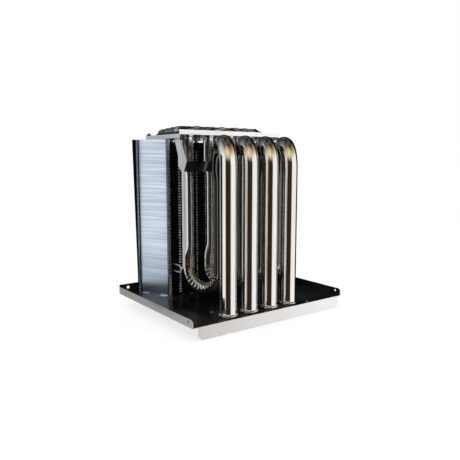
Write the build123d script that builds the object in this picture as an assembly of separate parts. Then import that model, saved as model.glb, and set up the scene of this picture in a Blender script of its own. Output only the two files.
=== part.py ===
from build123d import *
import math
import os

# Furnace heat exchanger: four serpentine primary tubes and a finned secondary coil,
# standing on the formed panel that carries them. Millimetres, +Z up.
# The origin is the middle of the footprint, on the surface that the unit stands on.

# Panel that carries everything
panel_width = 516.0
panel_front_margin = 34.8
panel_rear_margin = 21.5
sheet = 1.2
side_flange_height = 20.0
rear_flange_height = 26.0
front_flange_drop = 34.0
front_flange_left_inset = 16.0
front_flange_right_inset = 10.0
front_flange_cut = 12.0
flange_end_round = 9.0
flange_hole_radius = 3.0
flange_hole_rise = 12.0
flange_hole_setback = 20.0
rear_hole_radius = 4.5
rear_hole_rise = 15.0
rear_hole_inset = 28.0
notch_width = 14.0
notch_height = 4.0
notch_places = (-152.0, 163.0)

# Primary tubes
tube_count = 4
tube_sides = 24
tube_pitch = 68.7
first_tube_x = -128.3
second_pass_step = 86.0
third_pass_step = 102.7
large_radius = 22.225
small_radius = 15.875
tube_wall = 1.1
tube_top = 495.0
mouth_below_panel = 8.0
bead_radius = 25.8
bead_height = 7.0
return_bend_outer_bottom = 61.0
top_bend_pieces = 6
wrinkle_count = 12
wrinkle_depth = 6.0
wrinkle_share = 0.45
neck_length = 34.0
flat_half_width = 10.5
flat_half_depth = 19.6
flat_low_above_panel = 162.0
flat_high_below_header = 115.0
flat_run = 44.0
tube_above_header = 5.0
fit_clearance = 0.12

# Header plate and collector
header_top = 501.0
header_sheet = 1.5
header_reach_left = 14.0
header_reach_right = 27.0
header_reach_front = 27.5
header_rear_inset = 0.5
header_flange = 11.0
collector_sheet = 1.2
collector_front_height = 24.0
collector_rear_height = 16.0
collector_inset_left = 7.0
collector_inset_right = 11.0
collector_inset_front = 7.0
collector_inset_rear = 23.0
collector_slope_left = 11.0
collector_slope_right = 53.0
collector_slope_front = 12.0
collector_slope_rear = 10.0
seal_length = 26.0
seal_width = 6.5
seal_height = 8.0
seal_shoulder = 0.7
seal_crown = 0.4
seal_crown_end = 0.8

# Secondary coil
coil_gap = 69.0
fin_end_gap = 17.0
fin_pack_depth = 96.0
fin_pack_gap_below = 5.0
fin_pack_gap_above = 17.0
fin_pitch = 10.0
fin_thickness = 3.2
fin_groove = 9.0
coil_tube_radius = 6.35
coil_tube_sides = 12
coil_tube_wall = 0.8
coil_columns = 4
coil_tube_edge = 35.5
coil_rows = 2
coil_row_pitch = 31.0
coil_tube_above_header = 2.0
coil_tube_below_sheet = 2.0
coil_opening_margin = 8.0
channel_half_span = 156.0
channel_flange = 9.0
channel_step_front = 2.5
channel_rear_inset = 2.2
pan_end_inset = 4.0
pan_reach_front = 8.5
pan_reach_rear = 7.5

# Air baffles beside the coil
baffle_from_channel = 2.4
baffle_setback = 0.1
baffle_spread = 41.1
baffle_rear_setback = 6.5
baffle_hem_top = 18.0
baffle_hem_bottom = 9.0
baffle_gap_above = 0.5
baffle_tab_width = 7.0
baffle_tab_length = 26.0
baffle_tab_inset = 2.0

# Strap across the third passes, its hangers and the spacer clips
strap_below_header = 73.0
strap_height = 28.0
strap_lean = 15.0
strap_sheet = 1.5
strap_from_third_pass = 24.1
strap_crest_step = 8.0
strap_end_gap = 0.2
hanger_gap = 26.0
hanger_sheet = 1.5
hanger_strip_width = 12.0
hanger_foot = 134.0
hanger_arm_front = 41.0
hanger_arm_rear = 67.0
hanger_elbow = 44.0
hanger_elbow_rise = 14.0
clip_low = 111.0
clip_high = 133.0
clip_bar = 3.0
clip_width = 12.0
clip_inset = 15.5
clip_corner = 0.3
clip_gap = 0.3

panel_top = front_flange_drop
panel_under = panel_top - sheet
half_width = panel_width / 2
tube_run = second_pass_step + third_pass_step
half_depth = (panel_front_margin + tube_run + coil_gap + fin_pack_depth + panel_rear_margin) / 2
first_pass_y = panel_front_margin - half_depth
third_pass_y = first_pass_y + tube_run
fin_pack_front = third_pass_y + coil_gap
fin_pack_rear = fin_pack_front + fin_pack_depth
fin_pack_width = 2 * (channel_half_span - fin_end_gap)
coil_column_pitch = (fin_pack_width - 2 * coil_tube_edge) / (coil_columns - 1)
header_under = header_top - header_sheet
header_left = -channel_half_span - header_reach_left
header_right = channel_half_span + header_reach_right
header_front = third_pass_y - header_reach_front
header_rear = fin_pack_rear - header_rear_inset
flat_low = panel_top + flat_low_above_panel
flat_high = header_top - flat_high_below_header
strap_high = header_top - strap_below_header
strap_low = strap_high - strap_height
strap_valley_y = third_pass_y - strap_from_third_pass
tube_places = [first_tube_x + i * tube_pitch for i in range(tube_count)]
bank_centre = first_tube_x + (tube_count - 1) * tube_pitch / 2


def block(x0, x1, y0, y1, z0, z1):
    """Plain block between two corners."""
    size = (x1 - x0, y1 - y0, z1 - z0)
    return Pos((x0 + x1) / 2, (y0 + y1) / 2, (z0 + z1) / 2) * Box(*size)


def upright(radius, x, y, z0, z1):
    """Upright cylinder from z0 to z1."""
    return Pos(x, y, (z0 + z1) / 2) * Cylinder(radius, z1 - z0)


def many_sided(radius, x, y, turn, z0, z1, end_radius=None):
    """Upright many-sided bar or taper with a corner towards the turn, close to a round tube."""
    end_radius = end_radius or radius
    if end_radius > radius:
        radius, end_radius, z0, z1 = end_radius, radius, z1, z0
    height = abs(z1 - z0)
    narrowing = (radius - end_radius) * math.cos(math.pi / tube_sides)
    place = Plane(origin=(x, y, z0), x_dir=(math.cos(turn), math.sin(turn), 0), z_dir=(0, 0, z1 - z0))
    slope = math.degrees(math.atan2(narrowing, height))
    return extrude(place * RegularPolygon(radius, tube_sides), height, taper=slope)


def plate_across_x(points, x, thickness):
    """Flat plate from (y, z) outline points, from x towards +X."""
    plane = Plane(origin=(x, 0, 0), x_dir=(0, 1, 0), z_dir=(1, 0, 0))
    return extrude(plane * make_face(Polyline(*points, close=True)), thickness)


def save(shape, name):
    """Write one piece under its node name."""
    export_step(shape, f"parts/{name}.step")


# Primary tubes


def leg_axes():
    """Places of the three passes of the first tube, seen from above."""
    first = (first_tube_x, first_pass_y)
    second = (first_tube_x + tube_pitch / 2, first_pass_y + second_pass_step)
    third = (first_tube_x, third_pass_y)
    return first, second, third


def bend_frame(start, end):
    """Middle, direction and half span of the bend that joins two passes."""
    middle = ((start[0] + end[0]) / 2, (start[1] + end[1]) / 2)
    span = math.dist(start, end)
    heading = ((end[0] - start[0]) / span, (end[1] - start[1]) / span)
    return middle, heading, span / 2


def bend_turn(start, end):
    """Turn of the bend's direction from +X, seen from above."""
    return math.atan2(end[1] - start[1], end[0] - start[0])


def bend_piece(start, end, height, radius, upwards, count, fold_depth):
    """One of the equal mitred lengths of a return bend, the one next to the start pass.

    Its outline in the plane of the bend is a wedge. With a fold depth the inner corners
    are drawn in, so that neighbours leave a V-shaped crease on the inside of the bend.
    """
    middle, heading, reach = bend_frame(start, end)
    half = math.pi / count / 2
    far = (reach + 2 * radius) / math.cos(half)
    crease = reach - radius + fold_depth
    near = max(reach - 2 * radius, 0)
    lead = half * wrinkle_share if fold_depth else half
    corners = [(far, -half), (far, half), (crease, half), (near, lead), (near, -lead), (crease, -half)]
    wedge = Polyline(*[(r * math.cos(a), r * math.sin(a)) for r, a in corners], close=True)
    section = Pos(reach, 0, 0) * Rot(90, 0, 0) * RegularPolygon(radius, tube_sides)
    body = extrude(section, far * math.sin(half), both=True)
    body &= extrude(make_face(wedge), radius + 1, both=True)
    turn = -1 if upwards else 1
    x_dir = (-heading[0], -heading[1], 0)
    z_dir = (turn * heading[1], -turn * heading[0], 0)
    place = Plane(origin=(*middle, height), x_dir=x_dir, z_dir=z_dir)
    return [place * Rot(0, 0, math.degrees(half * (2 * k + 1))) * body for k in range(count)]


def third_pass():
    """Third pass: a blank that is wider where it is pressed, cut flat from both sides."""
    _, second, third = leg_axes()
    turn = bend_turn(second, third)
    end = header_top + tube_above_header
    levels = [lower_bend_centre(), flat_low - flat_run, flat_low, flat_high, flat_high + flat_run, end]
    radii = [small_radius, small_radius, flat_half_depth, flat_half_depth, small_radius, small_radius]
    widths = [small_radius, small_radius, flat_half_width, flat_half_width, small_radius, small_radius]
    blank = many_sided(radii[0], *third, turn, levels[0], levels[1])
    for k in range(1, len(levels) - 1):
        blank += many_sided(radii[k], *third, turn, levels[k], levels[k + 1], radii[k + 1])
    right = list(zip(widths, levels))
    left = [(-x, z) for x, z in reversed(right)]
    slab = Plane.XZ * make_face(Polyline(*right, *left, close=True))
    return blank & (Pos(*third, 0) * extrude(slab, flat_half_depth + 1, both=True))


def upper_bend_centre():
    """Height of the middle of the bend between the first and second passes."""
    first, second, _ = leg_axes()
    return tube_top - large_radius - math.dist(first, second) / 2


def lower_bend_centre():
    """Height of the middle of the bend between the second and third passes."""
    _, second, third = leg_axes()
    return return_bend_outer_bottom + small_radius + math.dist(second, third) / 2


def bead(turn):
    """Bead upset round the first pass where it seats on the panel."""
    low = panel_top + fit_clearance
    middle = low + bead_height / 2
    high = low + bead_height
    lower = many_sided(large_radius, first_tube_x, first_pass_y, turn, low, middle, bead_radius)
    return lower + many_sided(bead_radius, first_tube_x, first_pass_y, turn, middle, high, large_radius)


def primary_tube():
    """First tube: large first pass, smooth top bend, neck, wrinkled lower bend, pressed third pass."""
    first, second, third = leg_axes()
    top_turn = bend_turn(first, second)
    low_turn = bend_turn(second, third)
    upper = upper_bend_centre()
    lower = lower_bend_centre()
    mouth = panel_top - mouth_below_panel
    neck_low = upper - neck_length
    body = many_sided(large_radius, *first, top_turn, mouth, upper) + bead(top_turn)
    body += bend_piece(first, second, upper, large_radius, True, top_bend_pieces, 0)
    body += many_sided(small_radius, *second, top_turn, neck_low, upper, large_radius)
    body += many_sided(small_radius, *second, low_turn, lower, neck_low)
    body += bend_piece(second, third, lower, small_radius, False, wrinkle_count, wrinkle_depth)
    body += third_pass()
    body -= upright(large_radius - tube_wall, *first, mouth - 1, upper)
    return body


# Panel


def side_flange(x):
    """Upturned side flange with a rounded front end and one hole near the front."""
    outline = Polyline(
        (-half_depth, panel_under),
        (half_depth, panel_under),
        (half_depth, panel_top + side_flange_height),
        (-half_depth, panel_top + side_flange_height),
        close=True,
    )
    plane = Plane(origin=(x, 0, 0), x_dir=(0, 1, 0), z_dir=(1, 0, 0))
    body = extrude(plane * make_face(outline), sheet)
    front_top = body.edges().filter_by(Axis.X).group_by(Axis.Y)[0].sort_by(Axis.Z)[-1]
    body = fillet(front_top, flange_end_round)
    hole = Pos(x + sheet / 2, -half_depth + flange_hole_setback, panel_top + flange_hole_rise)
    return body - hole * Rot(0, 90, 0) * Cylinder(flange_hole_radius, 4 * sheet)


def front_flange():
    """Downturned front flange with cut corners and two notches along its lower edge."""
    left = -half_width + front_flange_left_inset
    right = half_width - front_flange_right_inset
    outline = Polyline(
        (left, panel_top),
        (left, front_flange_cut),
        (left + front_flange_cut, 0),
        (right - front_flange_cut, 0),
        (right, front_flange_cut),
        (right, panel_top),
        close=True,
    )
    plane = Plane(origin=(0, -half_depth + sheet, 0), x_dir=(1, 0, 0), z_dir=(0, -1, 0))
    body = extrude(plane * make_face(outline), sheet)
    for x in notch_places:
        reach = 2 * sheet
        low = -half_depth - reach
        high = -half_depth + reach
        body -= block(x - notch_width / 2, x + notch_width / 2, low, high, -1, notch_height)
    return body


def vest_panel():
    """Formed sheet that closes the burner side and carries every other piece."""
    body = block(-half_width, half_width, -half_depth, half_depth, panel_under, panel_top)
    body += side_flange(-half_width)
    body += side_flange(half_width - sheet)
    rear_top = panel_top + rear_flange_height
    body += block(-half_width, half_width, half_depth - sheet, half_depth, panel_under, rear_top)
    body += front_flange()
    for side in (-1, 1):
        place = Pos(side * (half_width - rear_hole_inset), half_depth - sheet / 2, panel_top + rear_hole_rise)
        body -= place * Rot(90, 0, 0) * Cylinder(rear_hole_radius, 4 * sheet)
    for x in tube_places:
        body -= upright(large_radius + fit_clearance, x, first_pass_y, 0, 2 * panel_top)
    margin = coil_tube_radius + coil_opening_margin
    reach_x = (coil_columns - 1) * coil_column_pitch / 2 + margin
    reach_y = (coil_rows - 1) * coil_row_pitch / 2 + margin
    middle = fin_pack_front + fin_pack_depth / 2
    body -= block(-reach_x, reach_x, middle - reach_y, middle + reach_y, panel_under - 1, panel_top + 1)
    return body


# Coil


def coil_places():
    """Axes of the coil tubes."""
    middle = fin_pack_front + fin_pack_depth / 2
    places = []
    for row in range(coil_rows):
        y = middle + (row - (coil_rows - 1) / 2) * coil_row_pitch
        for column in range(coil_columns):
            places.append(((column - (coil_columns - 1) / 2) * coil_column_pitch, y))
    return places


def coil_bar(radius, x, y, low, high):
    """Upright many-sided bar, for a coil tube, its bore or its hole."""
    outline = RegularPolygon(radius, coil_tube_sides)
    return extrude(Pos(x, y, low) * outline, high - low)


def fin_pack():
    """Stack of fins: one comb profile swept across, bored for the coil tubes."""
    low = panel_top + fin_pack_gap_below
    high = header_under - fin_pack_gap_above
    fin_count = int((high - low - fin_thickness) / fin_pitch) + 1
    rear = fin_pack_rear
    front_side = []
    rear_side = []
    for k in range(fin_count):
        bottom = low + k * fin_pitch
        top = bottom + fin_thickness
        front_side += [(fin_pack_front, bottom), (fin_pack_front, top)]
        rear_side += [(rear, bottom), (rear, top)]
        if k < fin_count - 1:
            above = bottom + fin_pitch
            front_side += [(fin_pack_front + fin_groove, top), (fin_pack_front + fin_groove, above)]
            rear_side += [(rear - fin_groove, top), (rear - fin_groove, above)]
    outline = front_side + rear_side[::-1]
    body = plate_across_x(outline, -fin_pack_width / 2, fin_pack_width)
    for x, y in coil_places():
        body -= coil_bar(coil_tube_radius + fit_clearance, x, y, low - 1, high + 1)
    return body


def coil_tubes():
    """Straight coil tubes from the outlet pan up through the header plate."""
    low = panel_under - sheet - coil_tube_below_sheet
    high = header_top + coil_tube_above_header
    tubes = []
    for x, y in coil_places():
        bore = coil_bar(coil_tube_radius - coil_tube_wall, x, y, low - 1, high + 1)
        tubes.append(coil_bar(coil_tube_radius, x, y, low, high) - bore)
    return Compound(children=tubes)


def coil_channel(side):
    """Channel that closes one end of the coil, from the panel up to the header plate."""
    outer = side * channel_half_span
    inner = side * (channel_half_span - sheet)
    lip = side * (channel_half_span - channel_flange)
    low = panel_top
    high = header_under
    front = fin_pack_front - channel_step_front
    rear = fin_pack_rear - channel_rear_inset
    body = block(min(outer, inner), max(outer, inner), front, rear, low, high)
    for y in (front, rear - sheet):
        body += block(min(outer, lip), max(outer, lip), y, y + sheet, low, high)
    return body


def outlet_pan():
    """Tube sheet under the panel with a skirt down to the standing surface."""
    front = fin_pack_front - pan_reach_front
    rear = fin_pack_rear + pan_reach_rear
    outer = channel_half_span - pan_end_inset
    inner = outer - sheet
    body = block(-outer, outer, front, rear, 0, panel_under)
    body -= block(-inner, inner, front + sheet, rear - sheet, -1, panel_under - sheet)
    for x, y in coil_places():
        body -= coil_bar(coil_tube_radius + fit_clearance, x, y, 0, panel_top)
    return body


def air_baffle(side):
    """Upright sheet from beside the coil out to the rear, with a hemmed rear edge and foot tabs."""
    fx = -channel_half_span - baffle_from_channel
    fy = fin_pack_front + baffle_setback
    rx = fx - baffle_spread
    ry = fin_pack_rear - baffle_rear_setback
    high = header_top - header_flange - baffle_gap_above
    run = math.hypot(rx - fx, ry - fy)
    along = (rx - fx) / run
    back = (ry - fy) / run
    height = high - panel_top
    foot = Plane(origin=(fx, fy, panel_top), x_dir=(along, back, 0), z_dir=(0, 0, 1))
    body = foot * block(0, run, -sheet, 0, 0, height)
    for start in (baffle_tab_inset, run - baffle_tab_length - baffle_tab_inset):
        body += foot * block(start, start + baffle_tab_length, -sheet, baffle_tab_width, 0, sheet)
    hem = Polyline(
        (rx + sheet, panel_top),
        (rx - baffle_hem_bottom, panel_top),
        (rx - baffle_hem_top, high),
        (rx + sheet, high),
        close=True,
    )
    rear_edge = Plane(origin=(0, ry + sheet, 0), x_dir=(1, 0, 0), z_dir=(0, -1, 0))
    body += extrude(rear_edge * make_face(hem), 2 * sheet)
    return mirror(body, Plane.YZ) if side > 0 else body


# Header and collector


def header_plate():
    """Tube sheet on top: front flange up, side and rear flanges down."""
    low = header_top - header_flange
    body = block(header_left, header_right, header_front, header_rear, header_under, header_top)
    front_top = header_top + header_flange
    body += block(header_left, header_right, header_front, header_front + sheet, header_under, front_top)
    body += block(header_left, header_left + sheet, header_front, header_rear, low, header_top)
    body += block(header_right - sheet, header_right, header_front, header_rear, low, header_top)
    body += block(header_left, header_right, header_rear - sheet, header_rear, low, header_top)
    for x in tube_places:
        body -= upright(small_radius + fit_clearance, x, third_pass_y, low, front_top)
    for x, y in coil_places():
        body -= coil_bar(coil_tube_radius + fit_clearance, x, y, low, front_top)
    return body


def sloped_box(inset):
    """Solid with sloped walls between the collector's base and its top outline."""
    x0 = header_left + collector_inset_left
    x1 = header_right - collector_inset_right
    y0 = header_front + collector_inset_front
    y1 = header_rear - collector_inset_rear
    u0 = x0 + collector_slope_left
    u1 = x1 - collector_slope_right
    v0 = y0 + collector_slope_front
    v1 = y1 - collector_slope_rear
    front = header_top + collector_front_height - inset
    rear = header_top + collector_rear_height - inset
    from_front = Polyline(
        (x0 + inset, header_top),
        (x1 - inset, header_top),
        (u1 - inset, front),
        (u0 + inset, front),
        close=True,
    )
    from_side = Polyline(
        (y0 + inset, header_top),
        (y1 - inset, header_top),
        (v1 - inset, rear),
        (v0 + inset, front),
        close=True,
    )
    body = extrude(Plane.XZ * make_face(from_front), half_depth, both=True)
    return body & extrude(Plane.YZ * make_face(from_side), half_width, both=True)


def collector_box():
    """Pressed cover over the tube ends, open towards the header plate."""
    return sloped_box(0.0) - sloped_box(collector_sheet)


def corner_seal():
    """Bead of sealant left at the rear left corner of the header plate."""
    left = header_left
    low = header_top
    section = Polyline(
        (left, low),
        (left + seal_width, low),
        (left + seal_width * seal_crown_end, low + seal_height * seal_shoulder),
        (left + seal_width * seal_crown, low + seal_height),
        (left, low + seal_height * seal_shoulder),
        close=True,
    )
    plane = Plane(origin=(0, header_rear, 0), x_dir=(1, 0, 0), z_dir=(0, -1, 0))
    return extrude(plane * make_face(section), seal_length)


# Strap, hangers and clips


def tube_strap():
    """Folded strap that leans forward, one facet in front of each third pass."""
    reach = bank_centre - first_tube_x + hanger_gap - strap_end_gap
    points = []
    for k in range(tube_count + 1):
        x = bank_centre - reach if k == 0 else first_tube_x + (k - 0.5) * tube_pitch
        x = min(x, bank_centre + reach)
        y = strap_valley_y - strap_crest_step * (k % 2)
        points.append((x, y))
    back = [(x, y + strap_sheet) for x, y in points]
    outline = Polyline(*(points + back[::-1]), close=True)
    face = Pos(0, 0, strap_low) * make_face(outline)
    rise = strap_high - strap_low
    length = math.hypot(strap_lean, rise)
    return extrude(face, length, dir=(0, -strap_lean, rise))


def hanger(side):
    """Flat arm from the header plate to the end of the strap, with a long strip below."""
    outer = bank_centre + side * (bank_centre - first_tube_x + hanger_gap)
    x = outer if side > 0 else outer - hanger_sheet
    front_low = strap_valley_y
    front_high = strap_valley_y - strap_lean
    outline = [
        (front_high + hanger_arm_front, header_under),
        (front_high + hanger_arm_rear, header_under),
        (front_high + hanger_elbow, strap_high + hanger_elbow_rise),
        (front_high + hanger_elbow, strap_high - hanger_elbow_rise),
        (front_low + hanger_strip_width, strap_low),
        (front_low + hanger_strip_width, hanger_foot),
        (front_low, hanger_foot),
        (front_low, strap_low),
        (front_high, strap_high),
    ]
    return plate_across_x(outline, x, hanger_sheet)


def hairpin(x0, x1, nose, tail, low, high):
    """Block whose front end is cut back at both corners, as a bent strip rounds it."""
    cut = (high - low) * clip_corner
    outline = [
        (tail, low),
        (tail, high),
        (nose + cut, high),
        (nose, high - cut),
        (nose, low + cut),
        (nose + cut, low),
    ]
    return plate_across_x(outline, x0, x1 - x0)


def spacer_clip(side):
    """Clip bent round like a hairpin between the end tube and the fin pack."""
    tube_x = bank_centre + side * (bank_centre - first_tube_x)
    inner = tube_x + side * clip_inset
    x = min(inner, inner - side * clip_width)
    nose = third_pass_y + small_radius + clip_gap
    tail = fin_pack_front - clip_gap
    body = hairpin(x, x + clip_width, nose, tail, clip_low, clip_high)
    low = clip_low + clip_bar
    high = clip_high - clip_bar
    return body - hairpin(x - 1, x + clip_width + 1, nose + clip_bar, tail + 1, low, high)


os.makedirs("parts", exist_ok=True)
save(vest_panel(), "vest_panel")
tube = primary_tube()
for i in range(tube_count):
    save(Pos(i * tube_pitch, 0, 0) * tube, f"primary_tube_{i + 1}")
save(header_plate(), "header_plate")
save(collector_box(), "collector_box")
save(corner_seal(), "corner_seal")
save(fin_pack(), "coil_fin_pack")
save(coil_tubes(), "coil_tubes")
save(coil_channel(-1), "coil_channel_left")
save(coil_channel(1), "coil_channel_right")
save(outlet_pan(), "outlet_pan")
save(air_baffle(-1), "air_baffle_left")
save(air_baffle(1), "air_baffle_right")
save(tube_strap(), "tube_strap")
save(hanger(-1), "hanger_left")
save(hanger(1), "hanger_right")
save(spacer_clip(-1), "spacer_clip_left")
save(spacer_clip(1), "spacer_clip_right")
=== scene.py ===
import math

import bpy
import numpy as np
from bpy.props import FloatProperty, FloatVectorProperty, IntProperty, PointerProperty
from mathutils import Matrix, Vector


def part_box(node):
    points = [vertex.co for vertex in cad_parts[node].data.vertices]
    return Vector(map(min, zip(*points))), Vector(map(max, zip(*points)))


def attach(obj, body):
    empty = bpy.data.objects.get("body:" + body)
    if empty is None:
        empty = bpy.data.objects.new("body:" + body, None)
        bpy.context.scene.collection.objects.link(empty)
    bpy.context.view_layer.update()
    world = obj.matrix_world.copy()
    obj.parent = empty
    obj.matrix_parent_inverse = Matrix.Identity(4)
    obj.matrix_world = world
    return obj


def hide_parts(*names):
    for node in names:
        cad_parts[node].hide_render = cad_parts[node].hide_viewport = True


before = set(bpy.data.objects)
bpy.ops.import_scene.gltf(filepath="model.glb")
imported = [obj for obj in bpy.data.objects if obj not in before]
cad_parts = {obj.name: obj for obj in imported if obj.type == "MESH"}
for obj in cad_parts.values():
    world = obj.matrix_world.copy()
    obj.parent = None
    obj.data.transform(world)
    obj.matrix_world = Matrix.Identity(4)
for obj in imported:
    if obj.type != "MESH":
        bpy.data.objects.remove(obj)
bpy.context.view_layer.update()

bl_info = {
    "name": "Furnace heat exchanger",
    "version": (1, 0, 0),
    "blender": (4, 5, 0),
    "location": "View3D > Sidebar > Exchanger",
    "description": "Dresses the packed heat exchanger with tubes, fins, sheet metal and a studio",
    "category": "Object",
}

ROOT = "root"
TUBE_NODES = ["primary_tube_1", "primary_tube_2", "primary_tube_3", "primary_tube_4"]


def low(node):
    """Lowest corner of a CAD node."""
    return np.array(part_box(node)[0])


def high(node):
    """Highest corner of a CAD node."""
    return np.array(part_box(node)[1])


PANEL_TOP = float(low("coil_channel_left")[2])
HEADER_TOP = float(low("collector_box")[2])
TUBE_LOW = low("primary_tube_1")
TUBE_HIGH = high("primary_tube_1")
TUBE_PITCH = float(low("primary_tube_2")[0] - TUBE_LOW[0])


# Screws on the panel, by x and y, and columns of white tabs on the coil, painted highlights for glints along
# the fin edges: name, x, half width and count
SCREW_PLACES = ((-0.146, -0.120), (0.130, -0.194), (-0.115, 0.082), (-0.081, 0.082), (0.115, 0.082))
TAB_COLUMNS = (("edge_tabs", -0.115, 0.0034, 48), ("inner_tabs", -0.055, 0.0016, 52))

# The light tent: its walls by degrees round Z, its black flag's x, front, rear, foot and top, and where its
# lamp fades in and out
TENT_WALLS = (
    (-180, "#ffffff"), (-163, "#ffffff"), (-157, "#2d2118"), (-96, "#38291d"), (-90, "#ffffff"),
    (-24, "#ffffff"), (-14, "#141414"), (45, "#0c0c0c"), (72, "#5c5c5e"), (105, "#6c6c6e"), (126, "#c2c6cc"),
    (150, "#f4f6fa"), (180, "#ffffff"),
)
FLAG = (-0.31, -0.10, 0.085, 0.03, 0.50)
LAMP_ACROSS = ((-172, 0.0), (-148, 1.0), (-108, 1.0), (-84, 0.0))
LAMP_UPWARD = ((0.36, 0.0), (0.60, 0.9), (0.76, 0.9), (0.96, 0.0))

# Settings that a user may change


def length(name, description, default):
    """Setting for a length, in metres."""
    return FloatProperty(name=name, description=description, default=default, unit="LENGTH")


class TubeSizes(bpy.types.PropertyGroup):
    """Sizes of the serpentine tubes."""

    large_radius: length("Large radius", "Outside radius of the first pass", 0.022225)
    small_radius: length("Small radius", "Outside radius of the later passes", 0.015875)
    wall: length("Wall", "Thickness of the tube wall", 0.0011)
    tube_top: length("Top", "Height of the top bends above the floor", 0.495)
    lower_bend_bottom: length("Lower bend", "Height of the lower bend's outside", 0.061)
    first_pass_y: length("First pass", "Place of the first pass from front to rear", -0.1702)
    pass_step: length("Pass step", "Distance from the first pass back to the second", 0.086)
    third_pass_y: length("Third pass", "Place of the third pass from front to rear", 0.0185)
    neck: length("Neck", "Length of the taper below the top bend", 0.034)
    bead_swell: length("Bead", "How far the bead stands out of the tube", 0.003575)
    bead_height: length("Bead height", "Height of the bead", 0.007)
    flat_half_width: length("Flat half width", "Half the width across the pressed flats", 0.0105)
    flat_half_depth: length("Flat half depth", "Half the depth of the pressed pass", 0.0196)
    flat_low: length("Flat start", "Height where the pressed flats start", 0.196)
    flat_high: length("Flat end", "Height where the pressed flats end", 0.386)
    flat_run: length("Flat blend", "Length over which the tube turns from flat to round", 0.044)
    top_ease: FloatProperty(
        name="Top ease", description="How gently the top bend starts, from 0 to 1",
        default=0.55, min=0, max=1
    )
    wrinkles: IntProperty(
        name="Wrinkles", description="Folds on the inside of the lower bend", default=14, min=1
    )
    wrinkle_depth: length("Wrinkle depth", "Depth of the folds on the inside", 0.0046)
    sides: IntProperty(name="Sides", description="Points round the tube", default=64, min=12)


class CoilSizes(bpy.types.PropertyGroup):
    """Sizes of the finned coil and its tubes."""

    fins: IntProperty(name="Fins", description="Fins that show as separate plates", default=55, min=2)
    fin_sheet: length("Fin sheet", "Thickness of a fin", 0.0007)
    ripple: length("Ripple", "Height of the waves in a fin", 0.0007)
    ripple_pitch: length("Ripple pitch", "Length of one wave", 0.012)
    tab_height: length("Tab", "Height of a bright fin tab", 0.005)
    tab_lean: FloatProperty(
        name="Tab lean", description="Lean of a bright fin tab", default=-0.5, subtype="ANGLE"
    )
    core_inset: length("Core inset", "Distance from the fin edges to the core", 0.009)
    tube_radius: length("Coil tube radius", "Outside radius of a coil tube", 0.00635)
    tube_wall: length("Coil tube wall", "Wall of a coil tube", 0.0008)
    columns: IntProperty(name="Columns", description="Coil tubes across", default=4, min=1)
    rows: IntProperty(name="Rows", description="Coil tubes from front to rear", default=2, min=1)


class CoverSizes(bpy.types.PropertyGroup):
    """Sizes of the collector cover."""

    slope_left: length("Left slope", "Run of the left wall", 0.011)
    slope_right: length("Right slope", "Run of the right wall", 0.053)
    slope_front: length("Front slope", "Run of the front wall", 0.012)
    slope_rear: length("Rear slope", "Run of the rear wall", 0.010)
    rear_height: length("Rear height", "Height at the rear", 0.016)
    sheet: length("Sheet", "Thickness of the cover", 0.0012)
    dent: length("Dent", "Depth of the deepest dents", 0.0032)


class SmallPartSizes(bpy.types.PropertyGroup):
    """Sizes of the strap, clips, collars and screws."""

    strap_sheet: length("Strap sheet", "Thickness of the strap", 0.0015)
    strap_step: length("Strap step", "Depth of the folds in the strap", 0.008)
    strap_lean: length("Strap lean", "How far the strap's top edge stands forward", 0.015)
    clip_bar: length("Clip strip", "Thickness of the clip's strip", 0.0028)
    collar_radius: length("Collar radius", "Outside radius of the collars under the header", 0.0188)
    collar_height: length("Collar height", "Height of the collars under the header", 0.006)
    header_sheet: length("Header sheet", "Thickness of the header plate", 0.0015)
    screw_radius: length("Screw head", "Radius of a screw head", 0.0042)
    screw_height: length("Screw head height", "Height of a screw head", 0.0024)


class StudioSettings(bpy.types.PropertyGroup):
    """Camera and light."""

    camera_place: FloatVectorProperty(
        name="Camera", description="Place of the camera",
        default=(-0.889238, -1.207930, 0.431676), subtype="XYZ"
    )
    heading: FloatProperty(
        name="Heading", description="Turn of the camera from +Y towards +X",
        default=0.636336, subtype="ANGLE"
    )
    pitch: FloatProperty(
        name="Pitch", description="Tilt of the camera below level", default=0.135198, subtype="ANGLE"
    )
    lens: FloatProperty(name="Lens", description="Focal length in millimetres", default=40.385)
    tent_radius: length("Tent", "Radius of the light tent", 6.0)
    sensor: FloatProperty(name="Sensor", description="Sensor width in millimetres", default=36.0)


# Small tools


def linear(colour):
    """Linear RGBA of an sRGB hex colour such as "#8a8d90"."""
    parts = np.array([int(colour[i:i + 2], 16) for i in (1, 3, 5)]) / 255
    flat = np.where(parts <= 0.04045, parts / 12.92, ((parts + 0.055) / 1.055) ** 2.4)
    return (*flat.tolist(), 1.0)


def add(tree, kind, values=None, links=None, **settings):
    """Adds one node: settings are its options, values its fixed inputs and links its wired inputs."""
    made = tree.nodes.new(kind)
    for key, value in settings.items():
        setattr(made, key, value)
    for key, value in (values or {}).items():
        made.inputs[key].default_value = value
    for key, socket in (links or {}).items():
        tree.links.new(socket, made.inputs[key])
    return made


def smooth(edge0, edge1, value):
    """Smooth step from 0 at edge0 to 1 at edge1."""
    t = np.clip((value - edge0) / (edge1 - edge0), 0, 1)
    return t * t * (3 - 2 * t)


def skin(points, close_round=True, first=0):
    """Quads over a grid of points, rows first; the last column joins the first if close_round."""
    rows, columns = points.shape[:2]
    index = np.arange(rows * columns).reshape(rows, columns) + first
    right = np.roll(index, -1, axis=1)
    if not close_round:
        index, right = index[:, :-1], right[:, :-1]
    return np.stack([index[:-1], right[:-1], right[1:], index[1:]], axis=-1).reshape(-1, 4)


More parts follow.
